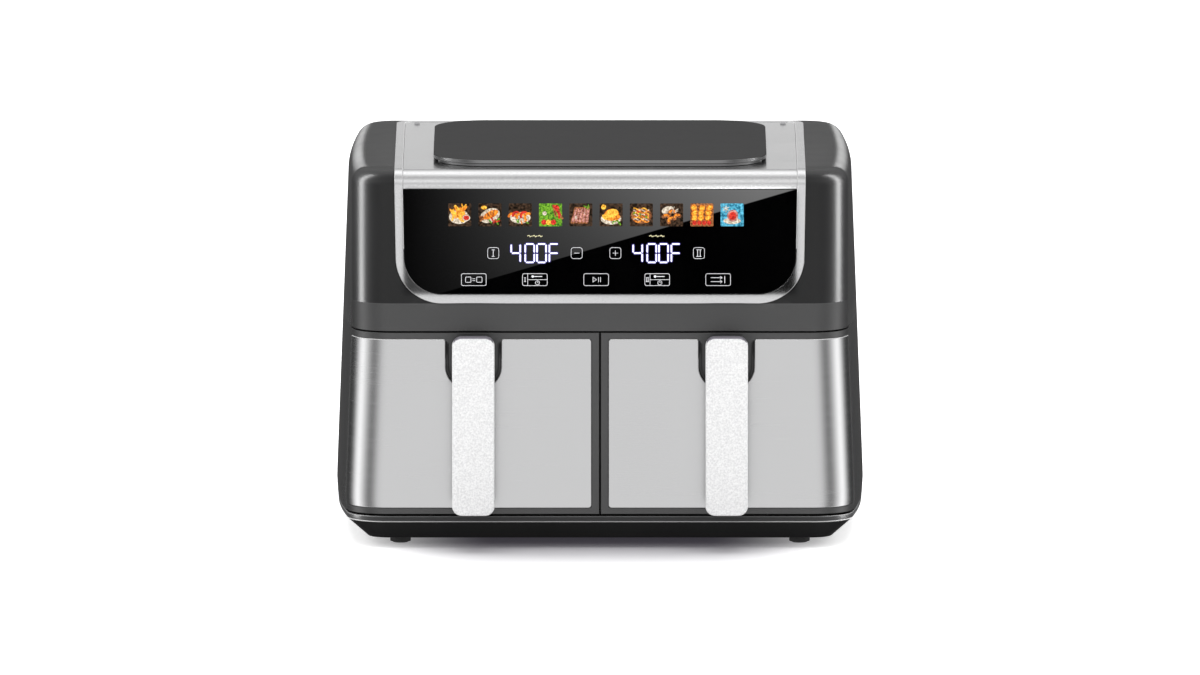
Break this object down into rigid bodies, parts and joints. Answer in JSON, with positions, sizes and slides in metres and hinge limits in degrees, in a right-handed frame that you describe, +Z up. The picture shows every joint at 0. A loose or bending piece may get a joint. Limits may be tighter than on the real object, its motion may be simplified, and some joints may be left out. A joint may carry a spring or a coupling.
{
  "type": "dual-drawer air fryer",
  "caption": "Counter-top air fryer with side-by-side pull-out drawers, steel fronts with tall handles, a glass touch panel in a silver frame and a raised air-inlet cover.",
  "frame": {"origin": "under the middle of the whole object, on the surface that its feet stand on", "axes": "+Z up, the drawers and the panel face -Y, +X is on the right of someone who looks at the front"},
  "size_m": [0.3998, 0.366, 0.2928],
  "materials": {
    "casing_plastic": "satin black plastic",
    "base_plastic": "matt black plastic",
    "inner_plastic": "matt black plastic",
    "cover_plastic": "fine-grained black plastic",
    "foot_rubber": "matt black rubber",
    "gland_rubber": "matt black rubber",
    "silver_trim": "satin silver",
    "deck_silver": "satin silver",
    "panel_glass": "polished black glass panel",
    "front_steel": "finely brushed",
    "handle_silver": "satin silver-white",
    "handle_plastic": "satin black plastic",
    "pan_coating": "dark non-stick coating",
    "tray_coating": "dark non-stick coating",
    "bumper_silicone": "black silicone",
    "sheet_steel": "coated sheet steel",
    "guard_wire": "polished wire",
    "heater_steel": "dark heat-tinted tube",
    "motor_steel": "grey steel",
    "sensor_steel": "plain steel",
    "screw_steel": "zinc-plated steel",
    "circuit_board": "lacquered green board",
    "terminal_plastic": "ivory plastic",
    "plunger_plastic": "red plastic"
  },
  "bodies": {
    "casing": {"base_tray": "base_plastic", "feet": "foot_rubber", "left_side_shell": "casing_plastic", "right_side_shell": "casing_plastic", "upper_housing": "casing_plastic", "front_fascia": "casing_plastic", "back_panel": "casing_plastic", "front_bezel": "inner_plastic", "trim_frame": "silver_trim", "deck_plate": "deck_silver", "top_vent_cover": "cover_plastic", "display_glass": "panel_glass", "display_carrier": "inner_plastic", "touch_board": "circuit_board", "power_board": "circuit_board", "motor_plate": "sheet_steel", "exhaust_ducts": "sheet_steel", "cord_gland": "gland_rubber", "terminal_block": "terminal_plastic", "temperature_sensors": "sensor_steel", "casing_screws": "screw_steel", "left_chamber": "sheet_steel", "right_chamber": "sheet_steel", "left_fan_well": "sheet_steel", "right_fan_well": "sheet_steel", "left_heater": "heater_steel", "right_heater": "heater_steel", "left_heater_guard": "guard_wire", "right_heater_guard": "guard_wire", "left_motor": "motor_steel", "right_motor": "motor_steel", "left_switch": "inner_plastic", "right_switch": "inner_plastic"},
    "left_drawer": {"left_drawer_front": "casing_plastic", "left_drawer_back": "inner_plastic", "left_steel_skin": "front_steel", "left_handle_core": "handle_plastic", "left_handle_cover": "handle_silver", "left_pan": "pan_coating", "left_drawer_screws": "screw_steel"},
    "left_tray": {"left_tray": "tray_coating", "left_tray_bumpers": "bumper_silicone"},
    "left_fan": {"left_fan_shaft": "screw_steel", "left_convection_fan": "sheet_steel", "left_cooling_fan": "inner_plastic"},
    "left_plunger": {"left_plunger": "plunger_plastic"},
    "right_drawer": {"right_drawer_front": "casing_plastic", "right_drawer_back": "inner_plastic", "right_steel_skin": "front_steel", "right_handle_core": "handle_plastic", "right_handle_cover": "handle_silver", "right_pan": "pan_coating", "right_drawer_screws": "screw_steel"},
    "right_tray": {"right_tray": "tray_coating", "right_tray_bumpers": "bumper_silicone"},
    "right_fan": {"right_fan_shaft": "screw_steel", "right_convection_fan": "sheet_steel", "right_cooling_fan": "inner_plastic"},
    "right_plunger": {"right_plunger": "plunger_plastic"}
  },
  "joints": [
    {"name": "left_drawer_slide", "type": "slide", "parent": "casing", "child": "left_drawer", "axis": [0, -1, 0], "range_m": [0, 0.26]},
    {"name": "left_tray_lift", "type": "slide", "parent": "left_drawer", "child": "left_tray", "axis": [0, 0, 1], "range_m": [0, 0.098]},
    {"name": "left_fan_spin", "type": "hinge", "parent": "casing", "child": "left_fan", "pos_m": [-0.09335, 0.0068, 0.2], "axis": [0, 0, 1], "continuous": true},
    {"name": "left_plunger_press", "type": "slide", "parent": "casing", "child": "left_plunger", "axis": [0, 1, 0], "range_m": [0, 0.0015], "stiffness_N_per_m": 300, "springref_m": -0.002},
    {"name": "right_drawer_slide", "type": "slide", "parent": "casing", "child": "right_drawer", "axis": [0, -1, 0], "range_m": [0, 0.26]},
    {"name": "right_tray_lift", "type": "slide", "parent": "right_drawer", "child": "right_tray", "axis": [0, 0, 1], "range_m": [0, 0.098]},
    {"name": "right_fan_spin", "type": "hinge", "parent": "casing", "child": "right_fan", "pos_m": [0.09335, 0.0068, 0.2], "axis": [0, 0, 1], "continuous": true},
    {"name": "right_plunger_press", "type": "slide", "parent": "casing", "child": "right_plunger", "axis": [0, 1, 0], "range_m": [0, 0.0015], "stiffness_N_per_m": 300, "springref_m": -0.002}
  ]
}
